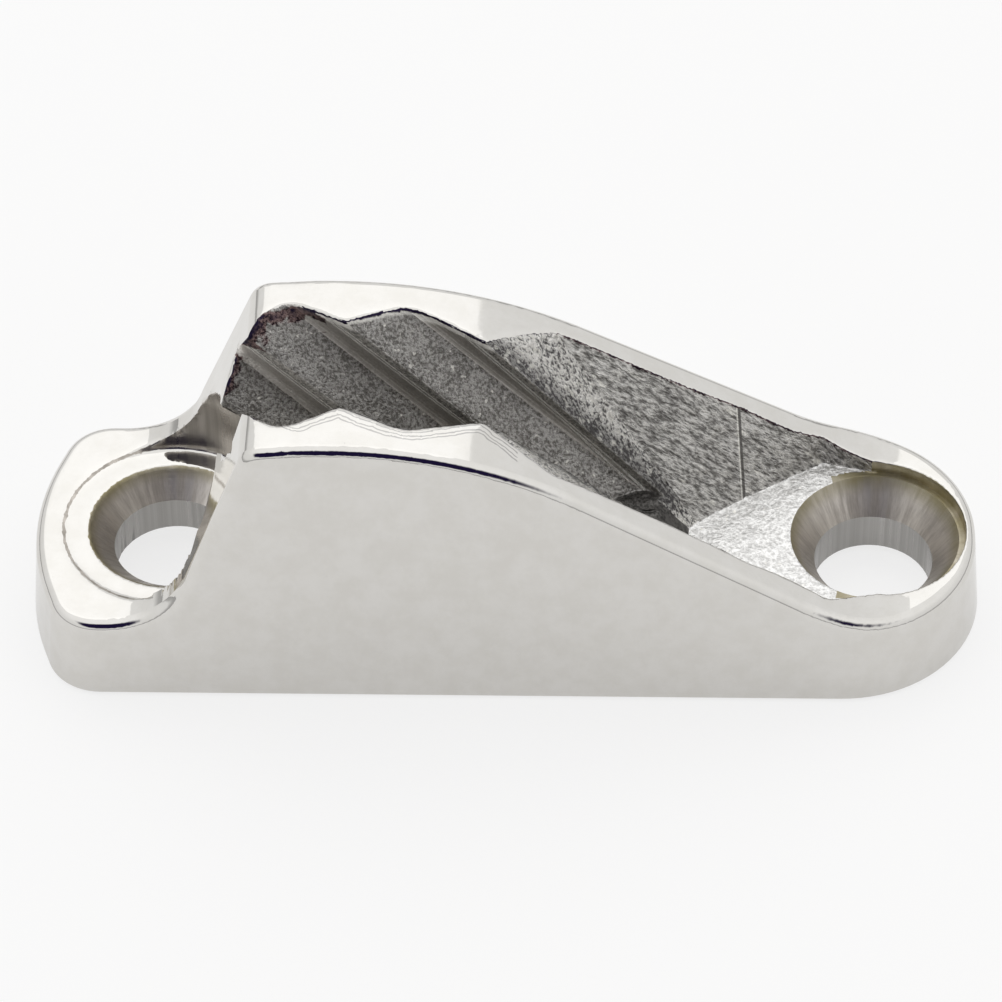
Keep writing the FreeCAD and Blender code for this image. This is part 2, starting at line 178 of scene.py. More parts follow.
def blend_values(tree, factor, first, second):
    mix = add_node(tree, "ShaderNodeMix", data_type="FLOAT")
    for index, value in ((0, factor), (2, first), (3, second)):
        feed(tree, value, mix.inputs[index])
    return mix.outputs[0]


def blend_colours(tree, factor, first, second):
    mix = add_node(tree, "ShaderNodeMix", data_type="RGBA")
    for index, value in ((0, factor), (6, first), (7, second)):
        feed(tree, value, mix.inputs[index])
    return mix.outputs[2]


print("helpers", [helper.__name__ for helper in (parts_of, vector_of, chain, fade, noise_at)])

# %% [markdown]
# ## Floor
#
# The real shot stands on white. The floor is a plain plane, and it matters twice: it takes the
# cleat's soft shadow, and it is what the polished side mirrors. To the camera and to the metal it
# glows a little, which lifts it to white and leaves the shadow in place.

# %% Floor
FLOOR_SIZE = 3.0
FLOOR_COLOUR = (0.93, 0.925, 0.915)
FLOOR_GLOW = 0.75
MIRROR_GLOW = 0.4
floor_mesh = bpy.data.meshes.new("floor")
floor_shape = bmesh.new()
bmesh.ops.create_grid(floor_shape, x_segments=1, y_segments=1, size=FLOOR_SIZE)
floor_shape.to_mesh(floor_mesh)
floor_shape.free()
floor = bpy.data.objects.new("floor", floor_mesh)
scene.collection.objects.link(floor)


def glow_share(tree):
    """How far the floor glows for a ray from the camera, or for one mirrored or let through."""
    path = add_node(tree, "ShaderNodeLightPath")
    indirect = chain(tree, path.outputs["Is Glossy Ray"], ("MAXIMUM", path.outputs["Is Transmission Ray"]))
    direct = chain(tree, path.outputs["Is Camera Ray"], ("MULTIPLY", FLOOR_GLOW))
    return chain(tree, indirect, ("MULTIPLY", MIRROR_GLOW), ("ADD", direct))


floor_material, tree, shader = new_material("floor_white")
feed(tree, FLOOR_COLOUR, shader.inputs["Base Color"])
shader.inputs["Roughness"].default_value = 0.9
shader.inputs["Specular IOR Level"].default_value = 0.2
glow = add_node(tree, "ShaderNodeEmission", {"Color": (1.0, 1.0, 1.0, 1.0), "Strength": 1.0})
blend = add_node(tree, "ShaderNodeMixShader")
join(tree, glow_share(tree), blend.inputs["Fac"])
join(tree, shader.outputs[0], blend.inputs[1])
join(tree, glow.outputs[0], blend.inputs[2])
join(tree, blend.outputs[0], tree.nodes["Material Output"].inputs["Surface"])
floor_mesh.materials.append(floor_material)
print("floor", FLOOR_SIZE * 2, "m wide")

# %% [markdown]
# ## Light
#
# Polished metal shows little but its surroundings, so the surroundings are the light. The world is a
# pale tent worked out from the direction of the ray: darker towards the horizon and brighter
# overhead, with a dark opening where the camera looks in. That opening is what draws the thin black
# line along the near edge of the real cleat. A picture of a studio would light it too, but a few
# nodes say in numbers where each reflection comes from.

# %% World
TENT_STOPS = [(0.0, 0.42), (0.1, 0.5), (0.2, 0.88), (0.5, 0.92), (0.8, 1.05), (1.0, 1.1)]
OPENING_ELEVATION = math.radians(39.0)
OPENING_HALF_HEIGHT = math.radians(22.0)
OPENING_HALF_WIDTH = 0.6
OPENING_CORE, OPENING_RIM = 0.6, 1.25
OPENING_COLOUR = (0.012, 0.008, 0.04)
BEHIND_GAP = 9.0


def set_greys(ramp, stops):
    """Set a colour ramp to a list of (place, grey)."""
    while len(ramp.elements) > 1:
        ramp.elements.remove(ramp.elements[-1])
    for index, (position, grey) in enumerate(stops):
        element = ramp.elements[0] if index == 0 else ramp.elements.new(position)
        element.position = position
        element.color = (grey, grey, grey, 1.0)


world = bpy.data.worlds.new("light_tent")
scene.world = world
world.use_nodes = True
tree = world.node_tree
background = tree.nodes["Background"]
direction = add_node(tree, "ShaderNodeTexCoord")
ray = parts_of(tree, direction.outputs["Generated"])
tent = add_node(tree, "ShaderNodeValToRGB")
set_greys(tent.color_ramp, TENT_STOPS)
join(tree, ray["Z"], tent.inputs["Fac"])

across = chain(tree, ray["X"], ("DIVIDE", OPENING_HALF_WIDTH), ("POWER", 2.0))
above = chain(tree, ray["Z"], ("ARCSINE", None), ("SUBTRACT", OPENING_ELEVATION),
              ("DIVIDE", OPENING_HALF_HEIGHT), ("POWER", 2.0))
behind = chain(tree, ray["Y"], ("GREATER_THAN", 0.0), ("MULTIPLY", BEHIND_GAP))
off_opening = chain(tree, across, ("ADD", above), ("ADD", behind))
opening = fade(tree, off_opening, OPENING_CORE, OPENING_RIM, 1.0, 0.0)
tent_colour = blend_colours(tree, opening, tent.outputs["Color"], OPENING_COLOUR)
join(tree, tent_colour, background.inputs["Color"])
background.inputs["Strength"].default_value = 1.0
scene.view_settings.view_transform = "Standard"
print("world nodes", len(tree.nodes))

# %% [markdown]
# ## Soft box
#
# One large soft lamp hangs behind the cleat. The level tops mirror it and turn white, and where the
# crown falls away to the ramp they slip past its right-hand edge and turn grey, as on the real one.
# It stands close by, because its edge shows at different places along the casting.

# %% Soft box
BOX_ELEVATION = math.radians(52.0)
BOX_DISTANCE = 0.32
BOX_LEFT, BOX_RIGHT = -0.2, 0.122
BOX_HEIGHT = 0.24
BOX_RADIANCE = 0.34
lamp_data = bpy.data.lights.new("soft_box", "AREA")
lamp_data.shape = "RECTANGLE"
lamp_data.size = BOX_RIGHT - BOX_LEFT
lamp_data.size_y = BOX_HEIGHT
lamp_data.energy = BOX_RADIANCE * math.pi * lamp_data.size * lamp_data.size_y
lamp = bpy.data.objects.new("soft_box", lamp_data)
lamp.location = ((BOX_LEFT + BOX_RIGHT) / 2, BOX_DISTANCE * math.cos(BOX_ELEVATION),
                 BOX_DISTANCE * math.sin(BOX_ELEVATION))
lamp.rotation_euler = (BOX_ELEVATION - math.pi / 2, 0.0, 0.0)
scene.collection.objects.link(lamp)
print("soft box", round(lamp_data.energy, 3), "W")

# %% [markdown]
# ## The casting
#
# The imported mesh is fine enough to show, but it is loose triangles with edges as sharp as a drawing.
# A copy is merged into one surface and worked on in millimetres. Each of its points also gets room
# for four marks, distances that the materials will read later.

# %% Copy the casting
MERGE_GAP = 0.004
SLIVER = 0.002
MARKS = ("lip_gap", "crest_gap", "join_gap", "shade_and_soot_gap")
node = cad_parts["cleat_body"]
casting_shape = bmesh.new()
casting_shape.from_mesh(node.data)
layers = {name: casting_shape.verts.layers.float.new(name) for name in MARKS}
casting_shape.transform(node.matrix_world)
bmesh.ops.scale(casting_shape, vec=(1 / MM, 1 / MM, 1 / MM), verts=casting_shape.verts)
bmesh.ops.remove_doubles(casting_shape, verts=casting_shape.verts, dist=MERGE_GAP)
bmesh.ops.dissolve_degenerate(casting_shape, edges=casting_shape.edges, dist=SLIVER)
casting_shape.normal_update()
print("casting", len(casting_shape.verts), "points", len(casting_shape.faces), "faces")
print("open edges", sum(1 for edge in casting_shape.edges if len(edge.link_faces) != 2))

# %% [markdown]
# ## Finishes
#
# The faces are sorted by what happened to them at the foundry: polished, left as cast, or turned.
# Faces that run into each other without an edge belong together, so each such region is sorted as a
# whole, by its place, its size and the way it looks. Lists and dictionaries keep the same order in
# each run, which sets don't.

# %% Places on the casting, in mm
FRONT_SCREW_X = -23.35
REAR_SCREW_X = 25.85
BORE_RADIUS = 4.15
SINK_RADIUS = 5.9
FRONT_SEAT_Z = 6.4
REAR_SEAT_RADIUS = 6.35
MOUTH_FLOOR_Z = 5.9
GROOVE_LEDGE_Z = 8.2
JAW_FRONT_X = -15.5
MOUTH_START_X = 13.0
WALL_END_X = 20.0
BASE_EDGE_Z = 0.5
SLOPE_WAY = Vector((0.36, 0.70, 0.61)).normalized()

GRAINY = ("cast_ridge", "cast_riser", "cast_shoulder", "cast_wall", "cast_root", "mouth_floor")
FINISHES = ("polished", *GRAINY, "turned_sink", "bore", "recess")
print("finishes", FINISHES)

# %% Regions of faces
SMOOTH_ANGLE = math.radians(14)


def smooth_regions(shape):
    """Groups of faces that run into each other without an edge."""
    waiting = dict.fromkeys(shape.faces)
    regions = []
    while waiting:
        front = [waiting.popitem()[0]]
        region = []
        while front:
            face = front.pop()
            region.append(face)
            for edge in face.edges:
                if len(edge.link_faces) == 2 and edge.calc_face_angle() < SMOOTH_ANGLE:
                    for other in edge.link_faces:
                        if other in waiting:
                            del waiting[other]
                            front.append(other)
        regions.append(region)
    return regions


regions = smooth_regions(casting_shape)
print("regions", len(regions))

# %% Sort the regions
RADIUS_SLACK = 0.03
FLOOR_SLACK = 0.05
SEAT_SLACK = 0.1
RING_SLACK = 0.5
SINK_TOP_Z = 2.5
OUTSIDE_AREA = 500.0
ROOT_HALF_WIDTH = 2.5
LEVEL = 0.99
UPRIGHT = 0.1
NOT_UP = 0.5
INWARD = 0.2
ON_SLOPE = 0.95


def screw_finish(points, low, high, way):
    """The finish of a region inside one of the two screw seats, or None."""
    for screw_x in (FRONT_SCREW_X, REAR_SCREW_X):
        widest = max(math.hypot(point.x - screw_x, point.y) for point in points)
        if widest < BORE_RADIUS + RADIUS_SLACK:
            return "bore"
        if widest < SINK_RADIUS + RADIUS_SLACK and high.z > SINK_TOP_Z:
            return "turned_sink"
    behind_screw = low.x > REAR_SCREW_X - RING_SLACK and low.z > MOUTH_FLOOR_Z - SEAT_SLACK
    if behind_screw and abs(way.z) < UPRIGHT:
        return "turned_sink"
    over_screw = high.x < JAW_FRONT_X and low.z > FRONT_SEAT_Z - SEAT_SLACK
    if over_screw and way.z < NOT_UP and abs(way.y) < UPRIGHT:
        return "recess"
    return None


def finish_of(region):
    """The finish of a region, from its limits, its area and its mean direction."""
    points = [vert.co for face in region for vert in face.verts]
    low = Vector([min(point[axis] for point in points) for axis in range(3)])
    high = Vector([max(point[axis] for point in points) for axis in range(3)])
    area = sum(face.calc_area() for face in region)
    way = sum((face.normal * face.calc_area() for face in region), Vector()) / area
    if high.z < BASE_EDGE_Z or area > OUTSIDE_AREA or low.z < FLOOR_SLACK:
        return "polished"
    seat = screw_finish(points, low, high, way)
    if seat:
        return seat
    if way.z > LEVEL and abs(high.z - MOUTH_FLOOR_Z) < FLOOR_SLACK:
        return "mouth_floor"
    if way.z > LEVEL and abs(high.z - GROOVE_LEDGE_Z) < SEAT_SLACK:
        return "cast_root"
    if max(abs(low.y), high.y) < ROOT_HALF_WIDTH:
        return "cast_root"
    inward = Vector((way.x, abs(way.y), way.z))
    if way.y * (low.y + high.y) < 0 and inward.y > INWARD:
        if high.x > MOUTH_START_X:
            return "cast_wall" if high.x > WALL_END_X else "cast_shoulder"
        return "cast_ridge" if inward.dot(SLOPE_WAY) > ON_SLOPE else "cast_riser"
    return "polished"


counts = dict.fromkeys(FINISHES, 0)
for region in regions:
    finish = finish_of(region)
    counts[finish] += len(region)
    for face in region:
        face.material_index = FINISHES.index(finish)
        face.smooth = True
print(counts)

# %% [markdown]
# ## Edges worth softening
#
# No edge of a real casting is sharp. The lip between the polished top and the cast groove is rolled
# over by the polishing wheel, the crests of the ridges are slightly blunt, and the front of each jaw
# is rounder still. A bevel wants long clean edges, and those of packed triangles are broken. So each
# kind of edge is listed as points along it, with how far its rounding reaches in mm and how often it
# is smoothed. A search tree then tells how near any spot is to one.

# %% List the edges
SHARP_ANGLE = math.radians(17)
SAMPLE_SPACING = 0.12
SHARP_BELOW_Z = 1.0
NOSE_END_X = -14.0
RAMP_START_X = 3.0
ROUNDING = {
    "lip": (1.1, 14),
    "ramp_lip": (0.45, 3),
    "crest": (0.3, 2),
    "valley": (0.3, 2),
    "foot": (0.4, 3),
    "fold": (0.9, 10),
    "nose": (1.2, 20),
    "seat": (0.5, 4),
}


def edge_kind(edge):
    """What kind of edge this is, or None where it stays as it is."""
    if len(edge.link_faces) != 2 or edge.calc_face_angle() < SHARP_ANGLE:
        return None
    middle = (edge.verts[0].co + edge.verts[1].co) / 2
    finishes = {FINISHES[face.material_index] for face in edge.link_faces}
    if middle.z < SHARP_BELOW_Z or finishes == {"bore"}:
        return None
    if "cast_riser" in finishes and finishes <= {"cast_ridge", "cast_riser", "cast_shoulder"}:
        return "crest" if edge.calc_face_angle_signed() > 0.0 else "valley"
    if finishes == {"cast_shoulder", "cast_wall"}:
        return "fold"
    if finishes <= set(GRAINY):
        return "foot" if "cast_wall" in finishes else None
    if finishes & {"turned_sink", "bore"}:
        return "seat" if "polished" in finishes else None
    if middle.x < NOSE_END_X or "recess" in finishes:
        return "nose"
    if "polished" in finishes and finishes & set(GRAINY):
        return "lip" if middle.x < RAMP_START_X else "ramp_lip"
    return None


edge_points = {kind: [] for kind in ROUNDING}
for edge in casting_shape.edges:
    kind = edge_kind(edge)
    if kind:
        first, last = edge.verts[0].co, edge.verts[1].co
        steps = max(1, math.ceil(edge.calc_length() / SAMPLE_SPACING))
        edge_points[kind] += [first.lerp(last, step / steps) for step in range(steps + 1)]
print("edge points", {kind: len(points) for kind, points in edge_points.items()})

# %% Plant the search trees
NO_EDGE = 99.0
edge_trees = {}
for kind, points in edge_points.items():
    tree_of_points = KDTree(max(1, len(points)))
    for index, point in enumerate(points):
        tree_of_points.insert(point, index)
    tree_of_points.balance()
    edge_trees[kind] = tree_of_points


def gap_to(kind, point):
    """Distance in mm from a point to the nearest edge of one kind."""
    found = edge_trees[kind].find(point)
    return found[2] if found[2] is not None else NO_EDGE


print("search trees", len(edge_trees))

# %% [markdown]
# ## A fine net over the groove
#
# Rounding and cast grain need points to move. The faces of the groove, and the polished faces next
# to an edge that gets rounded, are cut by two stacks of parallel planes into small cells, as a
# cheese wire would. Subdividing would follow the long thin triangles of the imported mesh, while the
# planes give even cells and leave the rest of the casting as it is.

# %% Net helpers
NET_EDGES = ("lip", "ramp_lip", "nose", "seat")
NET_BOTTOM_Z = 0.4
TOUCH = 1e-4


def wants_net(face):
    finish = FINISHES[face.material_index]
    if finish in GRAINY or finish == "recess":
        return True
    if finish == "bore" or face.calc_center_median().z < NET_BOTTOM_Z:
        return False
    spots = [vert.co for vert in face.verts] + [face.calc_center_median()]
    return any(gap_to(kind, spot) < ROUNDING[kind][0] for kind in NET_EDGES for spot in spots)


def cut_by_planes(shape, faces, axis, spacing):
    """Cut faces by planes across one axis, from low to high, and return all the pieces."""
    normal = Vector((0.0, 0.0, 0.0))
    normal[axis] = 1.0
    lowest = min(vert.co[axis] for face in faces for vert in face.verts)
    highest = max(vert.co[axis] for face in faces for vert in face.verts)
    level = (math.floor(lowest / spacing) + 0.5) * spacing
    waiting, finished = list(faces), []
    while level < highest and waiting:
        crossing, beyond = [], []
        for face in waiting:
            values = [vert.co[axis] for vert in face.verts]
            if max(values) <= level + TOUCH:
                finished.append(face)
            elif min(values) >= level - TOUCH:
                beyond.append(face)
            else:
                crossing.append(face)
        if crossing:
            edges = list(dict.fromkeys(edge for face in crossing for edge in face.edges))
            verts = list(dict.fromkeys(vert for face in crossing for vert in face.verts))
            cut = bmesh.ops.bisect_plane(shape, geom=crossing + edges + verts, dist=TOUCH,
                                         plane_co=normal * level, plane_no=normal)
            for piece in cut["geom"]:
                if isinstance(piece, bmesh.types.BMFace):
                    side = beyond if piece.calc_center_median()[axis] > level else finished
                    side.append(piece)
        waiting = beyond
        level += spacing
    return finished + waiting


net = [face for face in casting_shape.faces if wants_net(face)]
print("faces under the net", len(net), "of", len(casting_shape.faces))

# %% Cut the net
CELL = 0.2
SHORTEST = 0.03
FLAT = 0.85
net = cut_by_planes(casting_shape, net, 0, CELL)
flat = [face for face in net if abs(face.normal.z) > FLAT]
steep = [face for face in net if abs(face.normal.z) <= FLAT]
net = cut_by_planes(casting_shape, flat, 1, CELL) + cut_by_planes(casting_shape, steep, 2, CELL)
net_points = list(dict.fromkeys(vert for face in net for vert in face.verts))
bmesh.ops.remove_doubles(casting_shape, verts=net_points, dist=SHORTEST)
bmesh.ops.triangulate(casting_shape, faces=[face for face in casting_shape.faces if len(face.verts) > 4])
casting_shape.normal_update()
print("after the net", len(casting_shape.verts), "points", len(casting_shape.faces), "faces")

# %% Turned ring on the mouth's floor
RING_FROM_X = 23.0
ring_faces = 0
for face in casting_shape.faces:
    middle = face.calc_center_median()
    in_ring = math.hypot(middle.x - REAR_SCREW_X, middle.y) < REAR_SEAT_RADIUS + SEAT_SLACK
    if FINISHES[face.material_index] == "mouth_floor" and in_ring and middle.x > RING_FROM_X:
        face.material_index = FINISHES.index("turned_sink")
        ring_faces += 1
print("faces in the ring", ring_faces)

# %% Round the edges
LONG_EDGE = 2.5 * CELL
SMOOTH_SHARE = 0.5
for vert in casting_shape.verts:
    vert.tag = any(edge.calc_length() > LONG_EDGE for edge in vert.link_edges)
untouched = {vert: vert.co.copy() for vert in casting_shape.verts}
rounds_of = {}
for vert in casting_shape.verts:
    if vert.tag or vert.co.z < BASE_EDGE_Z:
        continue
    wanted = 0
    for kind, (reach, rounds) in ROUNDING.items():
        gap = gap_to(kind, vert.co)
        if gap < reach:
            wanted = max(wanted, math.ceil(rounds * (1.0 - gap / reach)))
    if wanted:
        rounds_of[vert] = wanted
for turn in range(max(rounds_of.values())):
    movers = [vert for vert, rounds in rounds_of.items() if rounds > turn]
    bmesh.ops.smooth_vert(casting_shape, verts=movers, factor=SMOOTH_SHARE, use_axis_x=True,
                          use_axis_y=True, use_axis_z=True)
casting_shape.normal_update()
print("rounded points", len(rounds_of), "moved at most",
      round(max((vert.co - untouched[vert]).length for vert in rounds_of), 3), "mm")

# %% [markdown]
# ## The grain of the mould
#
# The groove was never polished, so it keeps the skin of the mould: a fine pebble on the ridges and
# coarse torn strokes on the walls of the mouth. The coarse part is real here, because it shows in
# outline and under low light. Each point of the net moves along its own normal by seeded noise,
# and not at all next to a polished edge. The finest grain is left to the materials.

# %% Noise in the groove
# The way of a finish's strokes, and how far space is squeezed along it.
STROKES = {
    "cast_shoulder": (Vector((1.0, -0.83, -1.5)).normalized(), 0.45),
    "cast_wall": (Vector((1.0, 0.0, -0.75)).normalized(), 0.66),
}
NO_STROKE = (Vector((0.0, 0.0, 1.0)), 0.0)
# Height and length of each wave in the skin, in mm.
SKIN_WAVES = {
    "cast_ridge": [(0.04, 0.5)],
    "cast_riser": [(0.012, 0.9)],
    "mouth_floor": [(0.05, 0.9)],
}
TORN_WAVES = [(0.13, 0.6), (0.07, 0.36)]
SKIN_SHIFT = Vector((11.3, 4.7, 19.1))


def waves(point, length, shift):
    """Noise between about -1 and 1 with the given length of wave in mm."""
    return noise.noise(point / length + shift)


def eased(value, low, high):
    share = min(1.0, max(0.0, (value - low) / (high - low)))
    return share * share * (3.0 - 2.0 * share)


def along_strokes(finish, point):
    """Squeeze space along a finish's strokes, so that its noise is drawn out that way."""
    way, squeeze = STROKES.get(finish, NO_STROKE)
    mirrored = Vector((point.x, abs(point.y), point.z))
    return mirrored - way * mirrored.dot(way) * squeeze


def grain_height(finish, point):
    """How far the mould's skin stands proud at a point, in mm."""
    drawn = along_strokes(finish, point)
    return sum(height * waves(drawn, length, SKIN_SHIFT)
               for height, length in SKIN_WAVES.get(finish, TORN_WAVES))


wall_point = Vector((MOUTH_START_X, 0.0, GROOVE_LEDGE_Z))
print("height of the skin at one point in mm", round(grain_height("cast_wall", wall_point), 3))

# %% Painted shade and soot
# Painted shade sits along the lip, and soot in torn patches on the fronts of the jaws: low, high and width
# in mm.
SOOT_PATCHES = [(20.1, 22.0, 1.6), (16.6, 18.4, 0.8)]
MEAN_REACH, LEAST_REACH = 0.75, 0.1
TEAR_DEPTH, TEAR_LENGTH = 0.5, 0.8
PIT_DEPTH, PIT_LENGTH = 0.12, 0.45
TEAR_SHIFT = Vector((3.1, 8.7, 5.5))
PIT_SHIFT = Vector((9.1, 2.2, 7.4))
LINE_GAP = 0.2
NOSE_START, NOSE_SHARE = 0.6, 0.5


def shade_and_soot_gap(point):
    """How far the dark edge is: painted shade along the rolled lip, and soot in torn patches on the fronts
    of the jaws.
    """
    nose_gap = gap_to("nose", point)
    torn = NO_EDGE
    for low, high, width in SOOT_PATCHES:
        outside = max(low - point.z, point.z - high, 0.0)
        reach = width * (MEAN_REACH + TEAR_DEPTH * waves(point, TEAR_LENGTH, TEAR_SHIFT))
        pits = PIT_DEPTH * waves(point, PIT_LENGTH, PIT_SHIFT)
        torn = min(torn, LINE_GAP * nose_gap / max(LEAST_REACH, reach) + outside + pits)
    clean_nose = NOSE_START + NOSE_SHARE * nose_gap
    return min(gap_to("lip", point), gap_to("ramp_lip", point), clean_nose, torn)


print("soot gap at the same point in mm", round(shade_and_soot_gap(wall_point), 3))

# %% Raise the grain
GRAIN_FROM, GRAIN_FULL = 0.12, 0.5
grain_moves = []
for vert in casting_shape.verts:
    finishes = {FINISHES[face.material_index] for face in vert.link_faces}
    if vert.tag or not finishes <= set(GRAINY):
        continue
    height = sum(grain_height(finish, vert.co) for finish in sorted(finishes)) / len(finishes)
    grain_moves.append((vert, vert.normal * height * eased(shade_and_soot_gap(vert.co), GRAIN_FROM, GRAIN_FULL)))
for vert, move in grain_moves:
    vert.co += move
casting_shape.normal_update()
print("points with grain", len(grain_moves))

# %% [markdown]
# ## Marks for the materials
#
# Four distances are kept at every point of the mesh: to the rolled lip, to the nearest crest of a
# ridge, to the nearest join between two cast faces, and to the dark edge of painted shade and soot.
# The materials read them, so that painted shade lies along the lip, soot on the fronts of the jaws,
# and the crests shine, wherever the mesh runs.

# %% Measure the marks
FAR_AWAY = 2.0


def marks_at(point):
    return {"lip_gap": gap_to("lip", point), "crest_gap": gap_to("crest", point),
            "join_gap": min(gap_to("fold", point), gap_to("valley", point)), "shade_and_soot_gap": shade_and_soot_gap(point)}


for vert in casting_shape.verts:
    for name, gap in marks_at(untouched[vert]).items():
        vert[layers[name]] = min(FAR_AWAY, gap)
print("marks", MARKS)

# %% [markdown]
# ## The finished mesh
#
# Where nothing was moved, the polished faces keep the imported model's own smooth normals, so that
# their reflections stay clean across large and small triangles alike. The flat rim beside the rear
# screw is slightly crowned on the real casting, and mirrors another part of the tent. Here its
# normals alone lean to the rear, eased in and out along the cleat.

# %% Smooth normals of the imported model
cad_mesh = node.data
cad_points = [vert.co / MM for vert in cad_mesh.vertices]
cad_normals = [Vector(corner.vector) for corner in cad_mesh.corner_normals]
cad_faces = BVHTree.FromPolygons(cad_points, [list(polygon.vertices) for polygon in cad_mesh.polygons])


def cad_normal(face_index, point):
    """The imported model's own smooth normal at a point of one of its triangles."""
    polygon = cad_mesh.polygons[face_index]
    corners = [cad_points[index] for index in polygon.vertices[:3]]
    normals = [cad_normals[index] for index in list(polygon.loop_indices)[:3]]
    return barycentric_transform(point, *corners, *normals).normalized()


print("packed normals", len(cad_normals))

# %% Normals of the casting
MOVED = 0.006
REAR_CROWN = math.tan(math.radians(8.0))
CROWN_IN, CROWN_OUT = (19.5, 22.0), (29.0, 31.5)
NEARLY_LEVEL = 0.9


def shading_normal(vert, parent):
    """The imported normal, giving way to the point's own one where rounding moved it."""
    moved = (vert.co - untouched[vert]).length
    normal = cad_normal(parent, vert.co).lerp(vert.normal, min(1.0, moved / MOVED)).normalized()
    if normal.z > NEARLY_LEVEL:
        normal.x += REAR_CROWN * eased(vert.co.x, *CROWN_IN) * (1.0 - eased(vert.co.x, *CROWN_OUT))
        normal.normalize()
    return normal


corner_normals = []
for face in casting_shape.faces:
    if FINISHES[face.material_index] in GRAINY:
        corner_normals += [loop.vert.normal.copy() for loop in face.loops]
    else:
        parent = cad_faces.find_nearest(face.calc_center_median())[2]
        corner_normals += [shading_normal(loop.vert, parent) for loop in face.loops]
print("corner normals", len(corner_normals))

# %% Hand over the casting
bmesh.ops.scale(casting_shape, vec=(MM, MM, MM), verts=casting_shape.verts)
casting_mesh = bpy.data.meshes.new("casting")
casting_shape.to_mesh(casting_mesh)
casting_shape.free()
casting_mesh.normals_split_custom_set(corner_normals)
casting = bpy.data.objects.new("casting", casting_mesh)
scene.collection.objects.link(casting)
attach(casting, "root")
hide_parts("cleat_body")
triangles = sum(len(polygon.vertices) - 2 for polygon in casting_mesh.polygons)
print("casting mesh", len(casting_mesh.vertices), "points", triangles, "triangles")

# %% [markdown]
# ## Shared effects
#
# Three effects return in several finishes, so each is a node group with its own dials: the grain of
# the mould, the marks of the polishing wheel, and the marks of the countersink cutter. They only put
# out masks and heights. The shader stays in each material.

# %% Group helper
def new_group(name, inputs, outputs):
    """A shader node group whose sockets are given as (name, kind, value)."""
    group = bpy.data.node_groups.new(name, "ShaderNodeTree")
    for label, kind, value in inputs:
        socket = group.interface.new_socket(name=label, in_out="INPUT", socket_type=kind)
        socket.default_value = value
    for label in outputs:
        group.interface.new_socket(name=label, in_out="OUTPUT", socket_type="NodeSocketFloat")
    return group, group.nodes.new("NodeGroupInput"), group.nodes.new("NodeGroupOutput")


# %% Cast grain
CLOUDS_PER_MM = 0.5
CLOUD_SHARE = 0.3
TONE_LIMITS = (0.25, 0.75)
SPECKS_PER_PEBBLE = 0.45
SPECK_HARDNESS = 14.0
cast_grain, given, result = new_group("cast_grain", [
    ("Place", "NodeSocketVector", (0.0, 0.0, 0.0)), ("Pebbles per mm", "NodeSocketFloat", 4.0),
    ("Flecks", "NodeSocketFloat", 0.66), ("Stroke", "NodeSocketVector", (0.0, 0.0, 1.0)),
    ("Squeeze", "NodeSocketFloat", 0.0)], ["Height", "Tone", "Fleck"])
tree = cast_grain
per_mm = given.outputs["Pebbles per mm"]
parts = parts_of(tree, given.outputs["Place"])
mirrored = vector_of(tree, parts["X"], chain(tree, parts["Y"], ("ABSOLUTE", None)), parts["Z"])
along = add_node(tree, "ShaderNodeVectorMath", operation="DOT_PRODUCT")
join(tree, mirrored, along.inputs[0])
join(tree, given.outputs["Stroke"], along.inputs[1])
pull = add_node(tree, "ShaderNodeVectorMath", operation="SCALE")
join(tree, given.outputs["Stroke"], pull.inputs[0])
squeezed = chain(tree, along.outputs["Value"], ("MULTIPLY", given.outputs["Squeeze"]))
join(tree, squeezed, pull.inputs["Scale"])
drawn = add_node(tree, "ShaderNodeVectorMath", operation="SUBTRACT")
join(tree, mirrored, drawn.inputs[0])
join(tree, pull.outputs[0], drawn.inputs[1])
pebble = noise_at(tree, drawn.outputs[0], per_mm, 3.0, 0.7)
join(tree, pebble, result.inputs["Height"])
cloud = noise_at(tree, mirrored, CLOUDS_PER_MM, 3.0, 0.6)
tone = chain(tree, cloud, ("SUBTRACT", 0.5), ("MULTIPLY", CLOUD_SHARE), ("ADD", pebble))
join(tree, fade(tree, tone, *TONE_LIMITS), result.inputs["Tone"])
specks_per_mm = chain(tree, per_mm, ("MULTIPLY", SPECKS_PER_PEBBLE))
speck = noise_at(tree, drawn.outputs[0], specks_per_mm, 2.0, 0.5)
above_limit = chain(tree, speck, ("SUBTRACT", given.outputs["Flecks"]), ("MULTIPLY", SPECK_HARDNESS))
join(tree, fade(tree, above_limit, 0.0, 1.0), result.inputs["Fleck"])
print("cast grain nodes", len(cast_grain.nodes))

# %% Marks of the polishing wheel
SWELLS_PER_MM = 0.22
STAINS_PER_MM = 0.5
WHEEL_STRETCH = (0.12, 0.12, 3.0)
WHEEL_MARKS_PER_MM = 2.4
polish_marks, given, result = new_group("polish_marks", [
    ("Place", "NodeSocketVector", (0.0, 0.0, 0.0))], ["Height", "Haze", "Tone"])
tree = polish_marks
swell = noise_at(tree, given.outputs["Place"], SWELLS_PER_MM, 2.0, 0.5)
join(tree, swell, result.inputs["Height"])
stretch = add_node(tree, "ShaderNodeMapping", {"Scale": WHEEL_STRETCH})
join(tree, given.outputs["Place"], stretch.inputs["Vector"])
join(tree, noise_at(tree, stretch.outputs[0], WHEEL_MARKS_PER_MM, 3.0, 0.7), result.inputs["Haze"])
join(tree, noise_at(tree, given.outputs["Place"], STAINS_PER_MM, 4.0, 0.65), result.inputs["Tone"])
print("polish marks nodes", len(polish_marks.nodes))

